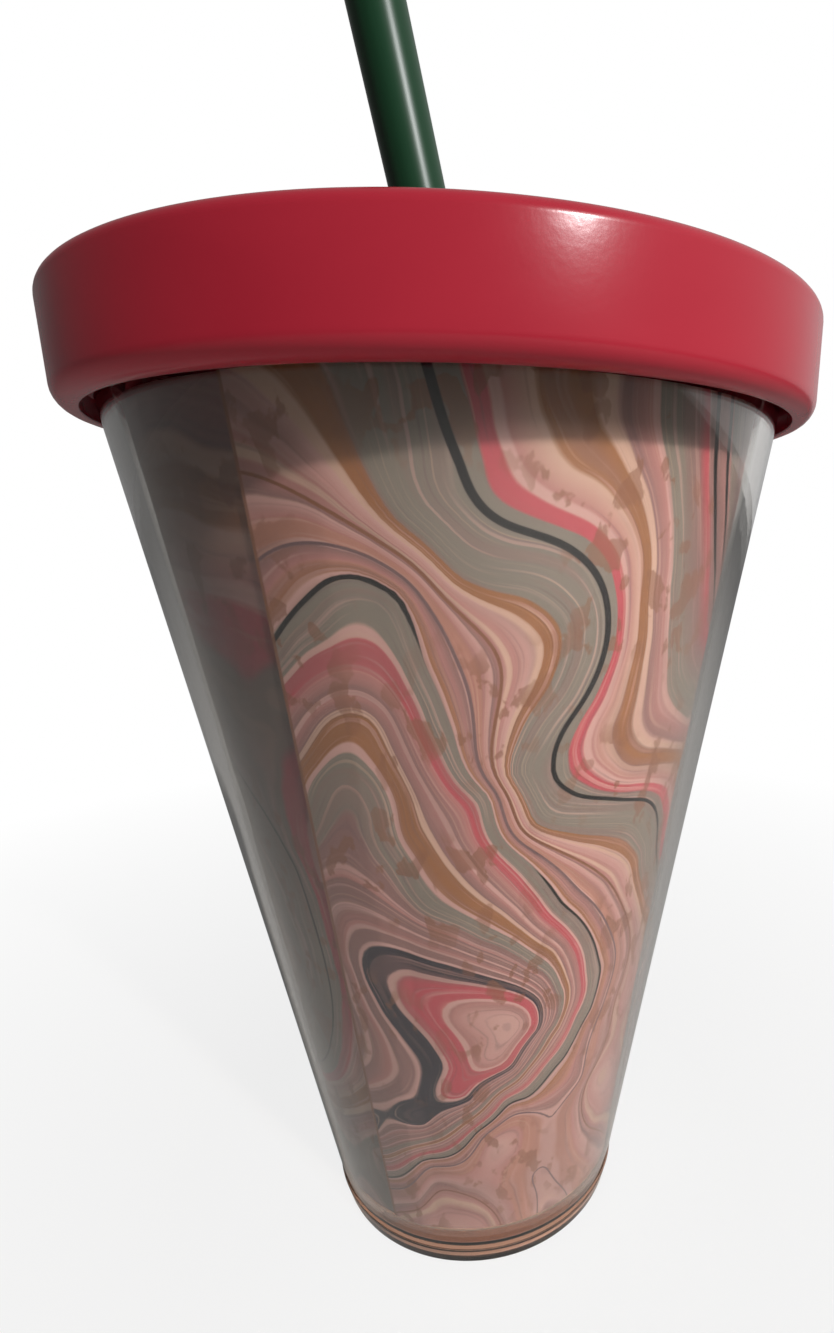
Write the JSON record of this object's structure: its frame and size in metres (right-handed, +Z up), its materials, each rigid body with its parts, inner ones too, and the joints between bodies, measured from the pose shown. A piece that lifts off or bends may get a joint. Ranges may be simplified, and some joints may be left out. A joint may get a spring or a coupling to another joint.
{
  "type": "double-wall tumbler with screw lid and straw",
  "caption": "Tapered double-wall clear plastic tumbler with a marbled sheet between its walls, an overhanging pink screw lid and a leaning green straw.",
  "frame": {"origin": "centre of the foot, on the plane that the tumbler stands on", "axes": "+Z up along the cup's axis, -Y the front with the sheet's lap seam at the left of it, the straw's upper end leans towards -X"},
  "size_m": [0.1022, 0.1022, 0.2447],
  "materials": {
    "clear_plastic": "clear moulded acrylic, polished",
    "printed_sheet": "printed plastic film, marbled in mauve, grey-green, ochre and rose",
    "lid_plastic": "raspberry pink moulded plastic, satin gloss",
    "gasket_rubber": "translucent white silicone",
    "straw_plastic": "dark green extruded plastic, satin gloss"
  },
  "bodies": {
    "cup": {"outer_shell": "clear_plastic", "base_disc": "clear_plastic", "inner_liner": "clear_plastic", "printed_insert": "printed_sheet"},
    "gasket": {"lid_gasket": "gasket_rubber"},
    "lid": {"lid": "lid_plastic"},
    "straw": {"straw": "straw_plastic"}
  },
  "joints": [
    {"name": "lid_lift", "type": "slide", "parent": "cup", "child": "gasket", "axis": [0, 0, 1], "range_m": [0, 0.00401]},
    {"name": "lid_turn", "type": "hinge", "parent": "gasket", "child": "lid", "pos_m": [0, 0, 0.148], "axis": [0, 0, 1], "range_deg": [0, 360]},
    {"name": "straw_slide", "type": "slide", "parent": "lid", "child": "straw", "axis": [-0.2155, -0.0341, 0.9759], "range_m": [0, 0.0755]}
  ],
  "couplings": [
    {"joint": "lid_lift", "follows": "lid_turn", "m_per_rad": 0.00063662}
  ]
}
